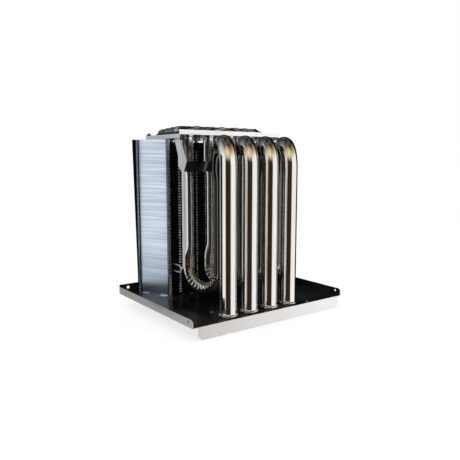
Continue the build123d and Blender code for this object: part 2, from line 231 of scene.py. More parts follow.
def outward(grid):
    """Turns a skin's faces outwards, by the sign of its volume: the sum of a . (b x c) / 6 over triangles,
    with each end ring drawn to its middle."""
    columns = grid.shape[1]
    ends = [np.repeat(ring.mean(axis=1, keepdims=True), columns, axis=1) for ring in (grid[:1], grid[-1:])]
    a = np.concatenate([ends[0], grid, ends[1]])
    b = np.roll(a, -1, axis=1)
    volume = (a[:-1] * (np.cross(b[:-1], b[1:]) + np.cross(b[1:], a[1:]))).sum()
    return grid if volume > 0 else grid[:, ::-1]


def bank_x(sizes):
    """X of the middle of tube 1, whose bead is its leftmost point."""
    return float(TUBE_LOW[0]) + sizes.bead_swell + sizes.large_radius


def dress(node, finish):
    """Gives a CAD node its finish."""
    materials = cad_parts[node].data.materials
    materials.clear()
    materials.append(finish)


def piece(name, grids, finish, replaced=(), caps=True, shade=True, wall=0.0):
    """Makes one object from grids of points, each a skin with many-sided faces over its ends if caps.

    It's smooth if shade, and a wall above 0 thickens it inwards. The CAD nodes that it stands for get the
    same finish.
    """
    points, faces, first = [], [], 0
    for grid in map(outward, grids):
        rows, columns = grid.shape[:2]
        points.append(grid.reshape(-1, 3))
        faces += skin(grid, True, first).tolist()
        if caps:
            ring = np.arange(columns) + first
            faces += [ring[::-1].tolist(), (ring + (rows - 1) * columns).tolist()]
        first += rows * columns
    mesh = bpy.data.meshes.new(name)
    mesh.from_pydata(np.concatenate(points).tolist(), [], faces)
    mesh.materials.append(finish)
    if shade:
        mesh.shade_smooth()
    else:
        mesh.shade_flat()
    made = bpy.data.objects.new(name, mesh)
    bpy.context.scene.collection.objects.link(made)
    if wall:
        shell = made.modifiers.new("wall", "SOLIDIFY")
        shell.thickness = wall
        shell.offset = -1
    for node in replaced:
        dress(node, finish)
    if replaced:
        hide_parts(*replaced)
    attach(made, ROOT)
    return made


def boxes(centres, half, tilt=0.0):
    """Small blocks at the centres, with half sizes along X, Y and Z, leaning back by tilt about X."""
    x = half[0] * np.array([[-1, 1, 1, -1]])
    y = half[1] * np.array([[-1], [1]])
    z = half[2] * np.array([[-1, -1, 1, 1]])
    x, y, z = np.broadcast_arrays(x, y, z)
    c, s = math.cos(tilt), math.sin(tilt)
    block = np.stack([x, y * c - z * s, y * s + z * c], axis=-1)
    return [block + centre for centre in centres]


def turned(profile, centre, sides):
    """Turned shape: (radius, height) pairs spun round an upright axis at centre."""
    profile = np.array(profile)
    angle = np.linspace(0, 2 * np.pi, sides, endpoint=False)
    x = profile[:, :1] * np.cos(angle) + centre[0]
    y = profile[:, :1] * np.sin(angle) + centre[1]
    z = np.broadcast_to(profile[:, 1:] + centre[2], x.shape)
    return np.stack([x, y, z], axis=-1)


# Materials


def blank_material(name):
    """New material with only its shader and output, and Object coordinates ready."""
    made = bpy.data.materials.new(name)
    made.use_nodes = True
    tree = made.node_tree
    tree.nodes.clear()
    shader = add(tree, "ShaderNodeBsdfPrincipled")
    add(tree, "ShaderNodeOutputMaterial", links={"Surface": shader.outputs[0]})
    place = add(tree, "ShaderNodeTexCoord").outputs["Object"]
    return made, tree, shader, place


def grain(tree, place, millimetres, stretch=(1, 1, 1), detail=3.0):
    """Uneven grain of a real size in millimetres, drawn out along the axes where stretch is below 1."""
    drawn = add(tree, "ShaderNodeMapping", {"Scale": stretch}, {"Vector": place}).outputs[0]
    values = {"Scale": 1000 / millimetres, "Detail": detail}
    return add(tree, "ShaderNodeTexNoise", values, {"Vector": drawn}).outputs["Fac"]


def wear(tree, shader, pattern, colours, roughness, relief):
    """Lets one pattern shift colour, roughness and height together; relief is in millimetres."""
    values = {"From Min": 0.35, "From Max": 0.65}
    level = add(tree, "ShaderNodeMapRange", values, {"Value": pattern}).outputs[0]
    values = {6: linear(colours[0]), 7: linear(colours[1])}
    colour = add(tree, "ShaderNodeMix", values, {0: level}, data_type="RGBA").outputs[2]
    values = {"To Min": roughness[0], "To Max": roughness[1]}
    rough = add(tree, "ShaderNodeMapRange", values, {"Value": level}).outputs[0]
    values = {"Strength": 1.0, "Distance": relief / 1000}
    slope = add(tree, "ShaderNodeBump", values, {"Height": pattern}).outputs[0]
    tree.links.new(colour, shader.inputs["Base Color"])
    tree.links.new(rough, shader.inputs["Roughness"])
    tree.links.new(slope, shader.inputs["Normal"])
    return colour


def stain(tree, shader, below, where, colour):
    """Lays a second colour over the one below where a mask is 1, and returns the outcome."""
    mix = add(tree, "ShaderNodeMix", {7: linear(colour)}, {0: where, 6: below}, data_type="RGBA")
    tree.links.new(mix.outputs[2], shader.inputs["Base Color"])
    return mix.outputs[2]


def band(tree, value, stops):
    """Mask along a measure: pairs of (measure, height of the mask), joined by straight lines."""
    start, end = stops[0][0], stops[-1][0]
    values = {"From Min": start, "From Max": end}
    along = add(tree, "ShaderNodeMapRange", values, {"Value": value}).outputs[0]
    ramp = add(tree, "ShaderNodeValToRGB", links={"Fac": along})
    elements = ramp.color_ramp.elements
    for stop, (_, height) in zip(elements, (stops[0], stops[-1])):
        stop.color = (height, height, height, 1.0)
    for measure, height in stops[1:-1]:
        elements.new((measure - start) / (end - start)).color = (height, height, height, 1.0)
    return ramp.outputs[0]


def polished_stainless():
    """Ferritic stainless tube, drawn and polished: a near mirror, so its look is the studio's, broken only
    by draw lines along it; the real lines are 0.3 mm apart and drawn here at 1.2 mm so that they show. Straw
    heat tint starts where the flame turns into the top bend. The second pass is coloured near black as
    painted shade, for the shade it lies in between the front tubes."""
    made, tree, shader, place = blank_material("polished_stainless_tube")
    shader.inputs["Metallic"].default_value = 1.0
    lines = grain(tree, place, 1.2, (1, 1, 0.012), 2.0)
    below = wear(tree, shader, lines, ("#f8f6f2", "#e6e2dc"), (0.1, 0.16), 0.015)
    parts = add(tree, "ShaderNodeSeparateXYZ", links={"Vector": place}).outputs
    rise = band(tree, parts["Z"], ((0.442, 0.0), (0.462, 1.0), (0.478, 1.0), (0.493, 0.0)))
    front = band(tree, parts["Y"], ((-0.194, 0.9), (-0.184, 0.9), (-0.170, 0.0)))
    tint = add(tree, "ShaderNodeMath", links={0: rise, 1: front}, operation="MULTIPLY").outputs[0]
    below = stain(tree, shader, below, tint, "#e6bf3a")
    # Painted shade: the second pass lies in shade between the front tubes, so it is coloured near black
    depth = band(tree, parts["Y"], ((-0.150, 0.0), (-0.128, 0.85), (-0.070, 0.85), (-0.055, 0.0)))
    height = band(tree, parts["Z"], ((0.09, 0.0), (0.13, 1.0), (0.50, 1.0)))
    second_pass_shade = add(tree, "ShaderNodeMath", links={0: depth, 1: height}, operation="MULTIPLY").outputs[0]
    stain(tree, shader, below, second_pass_shade, "#1d1a18")
    return made


def coated_panel():
    """Cold rolled steel panel: inside a dark glossy coating that has gone patchy with grime, outside and on
    the sheared edges bare metal with a warm grey cast that brightens to the right."""
    made, tree, shader, place = blank_material("coated_panel_steel")
    half_x, half_y = (float(value) for value in high("vest_panel")[:2])
    sheet = 0.0012
    parts = add(tree, "ShaderNodeSeparateXYZ", links={"Vector": place}).outputs
    across = add(tree, "ShaderNodeMath", links={0: parts["X"]}, operation="ABSOLUTE").outputs[0]
    limits = (
        (across, half_x - 0.5 * sheet, "LESS_THAN"),
        (parts["Y"], half_y - 0.5 * sheet, "LESS_THAN"),
        (parts["Y"], 1.2 * sheet - half_y, "GREATER_THAN"),
        (parts["Z"], PANEL_TOP - 0.3 * sheet, "GREATER_THAN"),
    )
    inside = None
    for value, limit, test in limits:
        passed = add(tree, "ShaderNodeMath", {1: limit}, {0: value}, operation=test).outputs[0]
        if inside:
            links = {0: inside, 1: passed}
            passed = add(tree, "ShaderNodeMath", links=links, operation="MULTIPLY").outputs[0]
        inside = passed
    grime = grain(tree, place, 110.0, detail=4.0)
    scuffs = grain(tree, place, 9.0, (0.15, 1, 1))
    values = {"From Min": 0.45, "From Max": 0.72}
    level = add(tree, "ShaderNodeMapRange", values, {"Value": grime}).outputs[0]
    values = {6: linear("#121213"), 7: linear("#2e2e30")}
    coat = add(tree, "ShaderNodeMix", values, {0: level}, data_type="RGBA").outputs[2]
    values = {"From Min": -0.24, "From Max": 0.20}
    run = add(tree, "ShaderNodeMapRange", values, {"Value": parts["X"]}).outputs[0]
    values = {6: linear("#d3ccc8"), 7: linear("#f6f5f5")}
    bare = add(tree, "ShaderNodeMix", values, {0: run}, data_type="RGBA").outputs[2]
    colour = add(tree, "ShaderNodeMix", links={0: inside, 6: bare, 7: coat}, data_type="RGBA").outputs[2]
    tree.links.new(colour, shader.inputs["Base Color"])
    values = {"To Min": 0.9, "To Max": 0.0}
    metal = add(tree, "ShaderNodeMapRange", values, {"Value": inside}).outputs[0]
    tree.links.new(metal, shader.inputs["Metallic"])
    values = {"From Min": 0.3, "From Max": 0.7, "To Min": 0.2, "To Max": 0.36}
    rough = add(tree, "ShaderNodeMapRange", values, {"Value": grime}).outputs[0]
    tree.links.new(rough, shader.inputs["Roughness"])
    slope = add(tree, "ShaderNodeBump", {"Distance": 0.00001}, {"Height": scuffs}).outputs[0]
    tree.links.new(slope, shader.inputs["Normal"])
    shader.inputs["Specular IOR Level"].default_value = 0.35
    return made


def aluminised_sheet():
    """Hot dip aluminised sheet, rolled: cool silver with long soft roller lines about 3 mm apart."""
    made, tree, shader, place = blank_material("aluminised_sheet")
    shader.inputs["Metallic"].default_value = 1.0
    rolled = grain(tree, place, 3.0, (0.02, 0.02, 1))
    wear(tree, shader, rolled, ("#ffffff", "#eef0f3"), (0.2, 0.3), 0.01)
    return made


def baffle_sheet():
    """Galvanised sheet, brushed along its length: bluish white, with level streaks 4 mm high and a dull
    splash band a hand's width above the panel. At its hem, two dark lines with a pale one between are
    painted shade, for the shade in the hem's folds."""
    made, tree, shader, place = blank_material("galvanised_baffle_sheet")
    shader.inputs["Metallic"].default_value = 1.0
    streaks = grain(tree, place, 4.0, (0.02, 0.02, 1))
    below = wear(tree, shader, streaks, ("#e2e9f4", "#bfcbde"), (0.28, 0.36), 0.008)
    parts = add(tree, "ShaderNodeSeparateXYZ", links={"Vector": place}).outputs
    dull = band(tree, parts["Z"], ((0.05, 0.0), (0.085, 0.55), (0.13, 0.45), (0.19, 0.0)))
    below = stain(tree, shader, below, dull, "#8796aa")
    across = add(tree, "ShaderNodeMath", links={0: parts["X"]}, operation="ABSOLUTE").outputs[0]
    # Painted shade: two dark lines at the hem, for the shade in its folds
    first_shade_line = ((0.1975, 0.0), (0.1990, 1.0), (0.2010, 1.0), (0.2025, 0.1))
    second_shade_line = ((0.2060, 0.1), (0.2075, 1.0), (0.2185, 1.0))
    stain(tree, shader, below, band(tree, across, first_shade_line + second_shade_line), "#131416")
    return made


def crumpled_cover():
    """Thin aluminised cover, dented by hand: a dull mirror in broken patches, browned by heat. A near-black
    band at its foot is painted shade, for the shadow gap where it meets the header."""
    made, tree, shader, place = blank_material("dented_cover_sheet")
    shader.inputs["Metallic"].default_value = 1.0
    patches = grain(tree, place, 26.0, detail=4.0)
    below = wear(tree, shader, patches, ("#c4bdb5", "#3f362f"), (0.16, 0.3), 1.2)
    rise = add(tree, "ShaderNodeSeparateXYZ", links={"Vector": place}).outputs["Z"]
    # Painted shade: a near-black band along the foot, for the shadow gap where the cover meets the header
    foot = band(tree, rise, ((HEADER_TOP, 1.0), (HEADER_TOP + 0.003, 1.0), (HEADER_TOP + 0.006, 0.0)))
    stain(tree, shader, below, foot, "#0a0908")
    return made


def fin_stock(name, painted_light_tone, dusty_painted_light_tone):
    """Mill finish aluminium fin stock, dulled by patches of dust a thumb wide. The tones given to it carry
    painted light: near-black tones for the fins and core in shade, white for the edge tabs as a painted
    highlight.
    """
    made, tree, shader, place = blank_material(name)
    shader.inputs["Metallic"].default_value = 0.8
    wear(tree, shader, grain(tree, place, 14.0), (painted_light_tone, dusty_painted_light_tone), (0.3, 0.5), 0.02)
    return made


def rolled_strip(name, bright, dull, roughness):
    """Cold rolled stainless strip with fine rolling lines, drawn here 2 mm apart so that they show."""
    made, tree, shader, place = blank_material(name)
    shader.inputs["Metallic"].default_value = 1.0
    lines = grain(tree, place, 2.0, (1, 1, 0.05), 2.0)
    wear(tree, shader, lines, (bright, dull), (roughness * 0.8, roughness * 1.2), 0.01)
    return made


def strap_strip():
    """Galvanised strip, coloured dark grey, with a painted highlight along its first fold."""
    made, tree, shader, place = blank_material("dark_galvanised_strap")
    shader.inputs["Metallic"].default_value = 1.0
    below = wear(tree, shader, grain(tree, place, 6.0), ("#4c4d51", "#38393d"), (0.3, 0.42), 0.02)
    across = add(tree, "ShaderNodeSeparateXYZ", links={"Vector": place}).outputs["X"]
    fold = bank_x(bpy.context.scene.exchanger_tubes) + TUBE_PITCH / 2
    # Painted highlight: a pale band along the first fold, where its bevel catches the light
    fold_highlight = ((fold - 0.007, 0.0), (fold - 0.003, 1.0), (fold + 0.003, 1.0), (fold + 0.006, 0.0))
    stops = ((-0.16, 0.0), *fold_highlight, (0.11, 0.0))
    stain(tree, shader, below, band(tree, across, stops), "#c6c9cf")
    return made


def cured_sealant():
    """Red-brown high temperature silicone, cured: matte and lumpy, with lumps 5 mm wide."""
    made, tree, shader, place = blank_material("cured_silicone_sealant")
    wear(tree, shader, grain(tree, place, 5.0), ("#6d3426", "#35160f"), (0.62, 0.78), 0.5)
    return made


# Tube geometry


def tube_rings(sizes):
    """Centres, inward and sideways vectors, radius, fold depth and flatness for every ring of one tube.

    The run is: up the first pass, half a circle over the top, down the second pass with its taper,
    half a circle round the bottom, and up the third pass. Inward points at the centre of the bend.
    """
    first = np.array([bank_x(sizes), sizes.first_pass_y])
    second = first + np.array([TUBE_PITCH / 2, sizes.pass_step])
    third = np.array([first[0], sizes.third_pass_y])
    top_reach = np.linalg.norm(second - first) / 2
    low_reach = np.linalg.norm(third - second) / 2
    top_heading = (second - first) / (2 * top_reach)
    low_heading = (third - second) / (2 * low_reach)
    share = np.linspace(0, 1, 81)
    lean = np.pi * (share - sizes.top_ease * np.sin(2 * np.pi * share) / (2 * np.pi))
    middle = (lean[1:] + lean[:-1]) / 2
    steps = np.stack([np.sin(middle), np.cos(middle)])
    path = np.concatenate([np.zeros((2, 1)), np.cumsum(steps, axis=1)], axis=1)
    path *= 2 * top_reach / path[0, -1]
    top_centre = sizes.tube_top - sizes.large_radius - path[1].max()
    low_centre = sizes.lower_bend_bottom + sizes.small_radius + low_reach
    clearance = 0.00012
    seat = PANEL_TOP + clearance
    bead = np.linspace(seat, seat + sizes.bead_height, 13)
    rise = np.concatenate([[TUBE_LOW[2]], bead, np.linspace(bead[-1] + 0.004, top_centre, 24)])
    neck_low = top_centre - sizes.neck
    tapered = np.linspace(top_centre, neck_low, 14)
    fall = np.concatenate([tapered, np.linspace(neck_low - 0.01, low_centre, 20)])
    climb = np.linspace(low_centre, TUBE_HIGH[2], 110)
    over = lean[1:-1]
    under = np.linspace(0, np.pi, 16 * sizes.wrinkles + 1)[1:-1]

    def upright(place, heights, angle):
        """Rings of a vertical pass; angle is where inward points, seen from above."""
        angle = np.broadcast_to(angle, heights.shape)
        along = np.ones_like(heights)
        centre = np.stack([place[0] * along, place[1] * along, heights], axis=1)
        inward = np.stack([np.cos(angle), np.sin(angle), np.zeros_like(heights)], axis=1)
        return centre, inward

    def bend(start, heading, height, turn, run, way):
        """Rings of a return bend whose run is (along, away) per ring; way is 1 over the top, -1 below."""
        along = np.array([*heading, 0.0])
        up = np.array([0.0, 0.0, way])
        c, s = np.cos(turn)[:, None], np.sin(turn)[:, None]
        centre = np.array([*start, height]) + along * run[0][:, None] + up * run[1][:, None]
        return centre, along * c - up * s

    round_run = low_reach * np.stack([1 - np.cos(under), np.sin(under)])
    top_angle = math.atan2(top_heading[1], top_heading[0])
    low_angle = math.atan2(low_heading[1], low_heading[0])
    twist = smooth(neck_low, low_centre, fall)
    parts = [
        upright(first, rise, top_angle),
        bend(first, top_heading, top_centre, over, path[:, 1:-1], 1),
        upright(second, fall, top_angle + np.pi + twist * (low_angle - top_angle - np.pi)),
        bend(second, low_heading, low_centre, under, round_run, -1),
        upright(third, climb, low_angle + np.pi),
    ]
    centre = np.concatenate([p[0] for p in parts])
    inward = np.concatenate([p[1] for p in parts])
    up, down = np.array([0.0, 0.0, 1.0]), np.array([0.0, 0.0, -1.0])
    over_side = np.cross(up, (*top_heading, 0))
    under_side = np.cross(down, (*low_heading, 0))
    lengths = [len(p[0]) for p in parts]
    aside = np.concatenate([
        np.cross(up, parts[0][1]),
        np.tile(over_side, (lengths[1], 1)),
        np.cross(down, parts[2][1]),
        np.tile(under_side, (lengths[3], 1)),
        np.cross(up, parts[4][1]),
    ])
    swell = sizes.bead_swell * np.sin(np.pi * np.clip((rise - seat) / sizes.bead_height, 0, 1)) ** 0.8
    taper = smooth(top_centre, neck_low, fall)
    narrow = sizes.large_radius + (sizes.small_radius - sizes.large_radius) * taper
    radius = np.concatenate([
        sizes.large_radius + swell,
        np.full(len(over), sizes.large_radius),
        narrow,
        np.full(len(under) + len(climb), sizes.small_radius),
    ])
    fade_angle = 0.12
    fade = smooth(0, fade_angle, under) * smooth(np.pi, np.pi - fade_angle, under)
    fold = (1 - np.abs(np.sin(sizes.wrinkles * under))) * fade
    folds = np.concatenate([np.zeros(len(rise) + len(over) + len(fall)), fold, np.zeros(len(climb))])
    press = smooth(sizes.flat_low - sizes.flat_run, sizes.flat_low, climb)
    press *= smooth(sizes.flat_high + sizes.flat_run, sizes.flat_high, climb)
    flat = np.concatenate([np.zeros(len(centre) - len(climb)), press])
    return centre, inward, aside, radius, folds, flat


def tube_grid(sizes):
    """Skin of one tube: centre + radius(ring, angle) * (cos angle * inward + sin angle * aside).

    Folds draw the radius in by depth * smoothstep(cos angle from -0.35 to 0.8), so the outside stays smooth.
    The pressed pass blends to a superellipse of power 2.7 with its flats facing left and right.
    """
    centre, inward, aside, radius, folds, flat = tube_rings(sizes)
    angle = np.linspace(0, 2 * np.pi, sizes.sides, endpoint=False)[None, :]
    toward = inward[:, None] * np.cos(angle)[..., None] + aside[:, None] * np.sin(angle)[..., None]
    weight = smooth(-0.35, 0.8, np.cos(angle))
    r = radius[:, None] - sizes.wrinkle_depth * folds[:, None] * weight
    power = 2.7
    across = np.abs(toward[..., 0]) / sizes.flat_half_width
    deep = np.abs(toward[..., 1]) / sizes.flat_half_depth
    pressed = (across ** power + deep ** power + 1e-9) ** (-1 / power)
    r = np.where(flat[:, None] > 0, r + (pressed - r) * flat[:, None], r)
    return centre[:, None] + toward * r[..., None]


# Operators


class EXCHANGER_OT_tubes(bpy.types.Operator):
    """Makes the four serpentine primary tubes."""

    bl_idname = "exchanger.tubes"
    bl_label = "Primary tubes"

    def execute(self, context):
        sizes = context.scene.exchanger_tubes
        grid = tube_grid(sizes)
        metal = polished_stainless()
        for i, node in enumerate(TUBE_NODES):
            moved = grid + np.array([i * TUBE_PITCH, 0, 0])
            piece(f"tube_{i + 1}", [moved], metal, (node,), caps=False, wall=sizes.wall)
        return {"FINISHED"}


class EXCHANGER_OT_sheet_metal(bpy.types.Operator):
    """Gives the panel, header, channels, baffles, pan and hangers their finishes."""

    bl_idname = "exchanger.sheet_metal"
    bl_label = "Sheet metal"

    def execute(self, context):
        plain, baffle = aluminised_sheet(), baffle_sheet()
        strip = rolled_strip("bright_hanger_strip", "#ffffff", "#f0f0f2", 0.42)
        dress("vest_panel", coated_panel())
        for node in ("header_plate", "outlet_pan", "coil_channel_left", "coil_channel_right"):
            dress(node, plain)
        for side in ("left", "right"):
            dress(f"air_baffle_{side}", baffle)
            dress(f"hanger_{side}", strip)
        return {"FINISHED"}


class EXCHANGER_OT_collector(bpy.types.Operator):
    """Makes the dented collector cover and the sealant bead beside it."""

    bl_idname = "exchanger.collector"
    bl_label = "Collector cover"

    def cover(self, sizes):
        """Cover: rings from the base rectangle up the sloped walls and in over the top.

        Each ring is a superellipse of power 9, and a point is drawn in by
        dent * (0.5 + 0.3 sin(2 pi x / 43 mm + 3 sin(2 pi z / 30 mm)) + 0.2 sin(2 pi (x + y) / 27 mm)).
        """
        lo, hi = low("collector_box"), high("collector_box")
        slope = np.array([sizes.slope_left, sizes.slope_front, sizes.slope_right, sizes.slope_rear])
        wall_rings, top_rings, power = 12, 26, 9
        walls = np.concatenate([np.linspace(0, 1, wall_rings), np.ones(top_rings)])[:, None]
        shrink = np.concatenate([np.ones(wall_rings), np.linspace(0.985, 0.02, top_rings)])[:, None]
        left, front = lo[0] + slope[0] * walls, lo[1] + slope[1] * walls
        right, rear = hi[0] - slope[2] * walls, hi[1] - slope[3] * walls
        angle = np.linspace(0, 2 * np.pi, 240, endpoint=False)[None, :]
        c, s = np.cos(angle), np.sin(angle)
        reach = (np.abs(c) ** power + np.abs(s) ** power) ** (-1 / power)
        x = (left + right) / 2 + (right - left) / 2 * shrink * reach * c
        y = (front + rear) / 2 + (rear - front) / 2 * shrink * reach * s
        share = (y - lo[1]) / (hi[1] - lo[1])
        rise = (hi[2] - lo[2]) * (1 - share) + sizes.rear_height * share
        z = lo[2] + rise * walls
        wave = 0.3 * np.sin(2 * np.pi * x / 0.043 + 3 * np.sin(2 * np.pi * z / 0.03))
        wave += 0.2 * np.sin(2 * np.pi * (x + y) / 0.027)
        dent = sizes.dent * (0.5 + wave) * smooth(0, 0.3, walls)
        inward, down = dent * reach * (shrink > 0.9), dent * (walls > 0.99)
        return np.stack(np.broadcast_arrays(x - inward * c, y - inward * s, z - down), axis=-1)

    def bead(self):
        """Sealant: half an ellipse carried along Y and drawn in at both ends, with lumps
        0.86 + 0.09 sin(19 t + 2 angle) + 0.05 sin(41 t - angle)."""
        lo, hi = low("corner_seal"), high("corner_seal")
        along = np.linspace(0, 1, 30)[:, None]
        angle = np.linspace(0, 2 * np.pi, 24, endpoint=False)[None, :]
        ends = np.sin(np.pi * np.clip(along, 0.02, 0.98)) ** 0.35
        lump = ends * (0.86 + 0.09 * np.sin(19 * along + 2 * angle) + 0.05 * np.sin(41 * along - angle))
        x = (lo[0] + hi[0]) / 2 + (hi[0] - lo[0]) / 2 * np.cos(angle) * lump
        z = lo[2] + (hi[2] - lo[2]) * np.maximum(0, np.sin(angle)) * lump
        return np.stack(np.broadcast_arrays(x, lo[1] + (hi[1] - lo[1]) * along, z), axis=-1)

    def execute(self, context):
        sizes = context.scene.exchanger_cover
        grids, node = [self.cover(sizes)], "collector_box"
        piece("cover", grids, crumpled_cover(), (node,), caps=False, wall=sizes.sheet)
        piece("sealant_bead", [self.bead()], cured_sealant(), ("corner_seal",))
        return {"FINISHED"}


class EXCHANGER_OT_coil(bpy.types.Operator):
    """Makes the finned coil: rippled fins round a dark core, both coloured with painted shade, white edge
    tabs as painted highlights, and round coil tubes.
    """

    bl_idname = "exchanger.coil"
    bl_label = "Finned coil"

    def fin_grids(self, sizes, lo, hi):
        """A fin is a strip carried across the coil: z = level + ripple * sin(2 pi x / pitch), with edges set
        back by edge * (1 + sin(90 x + 700 level))."""
        x = np.linspace(lo[0], hi[0], 140)[:, None]
        wave = sizes.ripple * np.sin(2 * np.pi * x / sizes.ripple_pitch)
        half = sizes.fin_sheet / 2
        ring_y = np.array([lo[1], lo[1], hi[1], hi[1]])[None, :]
        ring_z = np.array([half, -half, -half, half])[None, :]
        margin = half + sizes.ripple
        edge = 0.0004 * np.array([1, 1, -1, -1])
        grids = []
        for level in np.linspace(lo[2] + margin, hi[2] - margin, sizes.fins):
            y = ring_y + edge * (1 + np.sin(90 * x + 700 * level))
            z = level + wave + ring_z
            grids.append(np.stack(np.broadcast_arrays(x, y, z), axis=-1))
        return grids

    def execute(self, context):
        sizes = context.scene.exchanger_coil
        lo, hi = low("coil_fin_pack"), high("coil_fin_pack")
        # Painted shade: the fins get near-black tones for the shade among the tubes and coil, with dust
        # patches darker still
        dull = fin_stock("shaded_dusty_fin_stock", "#3c3c3d", "#151516")
        piece("fins", self.fin_grids(sizes, lo, hi), dull, ("coil_fin_pack",), shade=False)
        side_inset, end_inset = 0.0005, 0.001
        half = (hi - lo) / 2 - np.array([side_inset, sizes.core_inset, end_inset])
        # Painted shade: the core is a near-black block behind the fins, where there is only shade
        core = fin_stock("shaded_fin_core", "#161616", "#090909")
        piece("coil_core", boxes([(lo + hi) / 2], half), core, shade=False)
        # Painted highlight: white tabs stand in for the dotted line of glints along the fin edges
        bright = fin_stock("fin_edge_painted_highlight", "#ffffff", "#b4b4b2")
        tab_setback, tab_half_sheet = 0.0008, 0.0006
        step = (hi[2] - lo[2]) / sizes.fins
        levels = lo[2] + step * (np.arange(sizes.fins) + 0.5)
        for name, x, half_wide, keep in TAB_COLUMNS:
            centres = [np.array([x, lo[1] + tab_setback, level]) for level in levels[:keep]]
            tabs = boxes(centres, (half_wide, tab_half_sheet, sizes.tab_height / 2), sizes.tab_lean)
            piece(name, tabs, bright, shade=False)
        lo, hi = low("coil_tubes"), high("coil_tubes")
        solid_sides = 12
        reach = sizes.tube_radius * math.cos(math.pi / solid_sides)
        xs = np.linspace(lo[0] + reach, hi[0] - reach, sizes.columns)
        ys = np.linspace(lo[1] + reach, hi[1] - reach, sizes.rows)
        outer, bore, rise = sizes.tube_radius, sizes.tube_radius - sizes.tube_wall, hi[2] - lo[2]
        profile = [(bore, rise), (bore, 0), (outer, 0), (outer, rise), (bore, rise)]
        rings = [turned(profile, (x, y, lo[2]), 32) for x in xs for y in ys]
        metal = rolled_strip("drawn_coil_tube", "#cfcfcf", "#a9a9aa", 0.3)
        piece("coil_tube_set", rings, metal, ("coil_tubes",), caps=False, shade=False)
        return {"FINISHED"}


class EXCHANGER_OT_strap(bpy.types.Operator):
    """Makes the folded strap in front of the third passes."""

    bl_idname = "exchanger.strap"
    bl_label = "Tube strap"

    def execute(self, context):
        """A zigzag y(x) = valley - step * (fold number is odd), rounded over its folds, leaning forward."""
        tubes, sizes = context.scene.exchanger_tubes, context.scene.exchanger_small
        lo, hi = low("tube_strap"), high("tube_strap")
        folds = np.array([lo[0]] + [bank_x(tubes) + (k + 0.5) * TUBE_PITCH for k in range(3)] + [hi[0]])
        valley = hi[1] - sizes.strap_sheet
        x = np.linspace(lo[0], hi[0], 160)
        y = np.interp(x, folds, valley - sizes.strap_step * (np.arange(5) % 2))
        kernel = np.hanning(7) / np.hanning(7).sum()
        y = np.convolve(np.pad(y, 3, mode="edge"), kernel, mode="valid")[:, None]
        rise, back = np.array([[0.0, 1.0, 1.0, 0.0], [0.0, 0.0, 1.0, 1.0]])
        z = lo[2] + (hi[2] - lo[2]) * rise
        y = y - sizes.strap_lean * rise + sizes.strap_sheet * back
        grid = np.stack(np.broadcast_arrays(x[:, None], y, z), axis=-1)
        piece("strap", [grid], strap_strip(), ("tube_strap",), shade=False)
        return {"FINISHED"}


class EXCHANGER_OT_clips(bpy.types.Operator):
    """Makes the hairpin clips between the end tubes and the coil."""

    bl_idname = "exchanger.clips"
    bl_label = "Spacer clips"

    def execute(self, context):
        """A flat strip along two arms joined by half a circle: offset +-bar / 2 from their middle line."""
        bar = context.scene.exchanger_small.clip_bar
        metal = rolled_strip("bright_clip_strip", "#ffffff", "#dededf", 0.22)
        for side in ("left", "right"):
            lo, hi = low(f"spacer_clip_{side}"), high(f"spacer_clip_{side}")
            half = (hi[2] - lo[2]) / 2
            turn = np.linspace(-np.pi / 2, np.pi / 2, 25)
            out = np.concatenate([[[0, -1]], np.stack([-np.cos(turn), np.sin(turn)], axis=1), [[0, 1]]])
            line = out * (half - bar / 2) + (lo[1] + half, lo[2] + half)
            line[[0, -1], 0] = hi[1]
            across = np.array([-1, -1, 1, 1]) * bar / 2
            y = line[:, :1] + out[:, :1] * across
            z = line[:, 1:] + out[:, 1:] * across
            x = np.array([[lo[0], hi[0], hi[0], lo[0]]])
            grid = np.stack(np.broadcast_arrays(x, y, z), axis=-1)
            piece(f"clip_{side}", [grid], metal, (f"spacer_clip_{side}",), shade=False)
        return {"FINISHED"}


class EXCHANGER_OT_fasteners(bpy.types.Operator):
    """Makes the panel screws and the collars round the upper tube ends."""

    bl_idname = "exchanger.fasteners"
    bl_label = "Screws and collars"

    def execute(self, context):
        tubes, sizes = context.scene.exchanger_tubes, context.scene.exchanger_small
        bright = rolled_strip("zinc_plated_steel", "#f0f0f2", "#c4c4c6", 0.2)
        outline = ((0.1, 0), (1, 0), (1, 0.35), (0.8, 0.8), (0.4, 1), (0.1, 1))
        head = [(r * sizes.screw_radius, h * sizes.screw_height) for r, h in outline]
        grids = [turned(head, (x, y, PANEL_TOP), 20) for x, y in SCREW_PLACES]
        piece("panel_screws", grids, bright)
        outer, inner, drop = sizes.collar_radius, tubes.small_radius, sizes.collar_height
        foot, side = (outer * 0.97, -drop), (outer, -drop * 0.7)
        ring = [(inner, -drop), foot, side, (outer, 0), (inner, 0), (inner, -drop)]
        under = HEADER_TOP - sizes.header_sheet
        bank, y = bank_x(tubes), tubes.third_pass_y
        grids = [turned(ring, (bank + i * TUBE_PITCH, y, under), 40) for i in range(len(TUBE_NODES))]
        piece("header_collars", grids, bright, caps=False, shade=False)
        return {"FINISHED"}


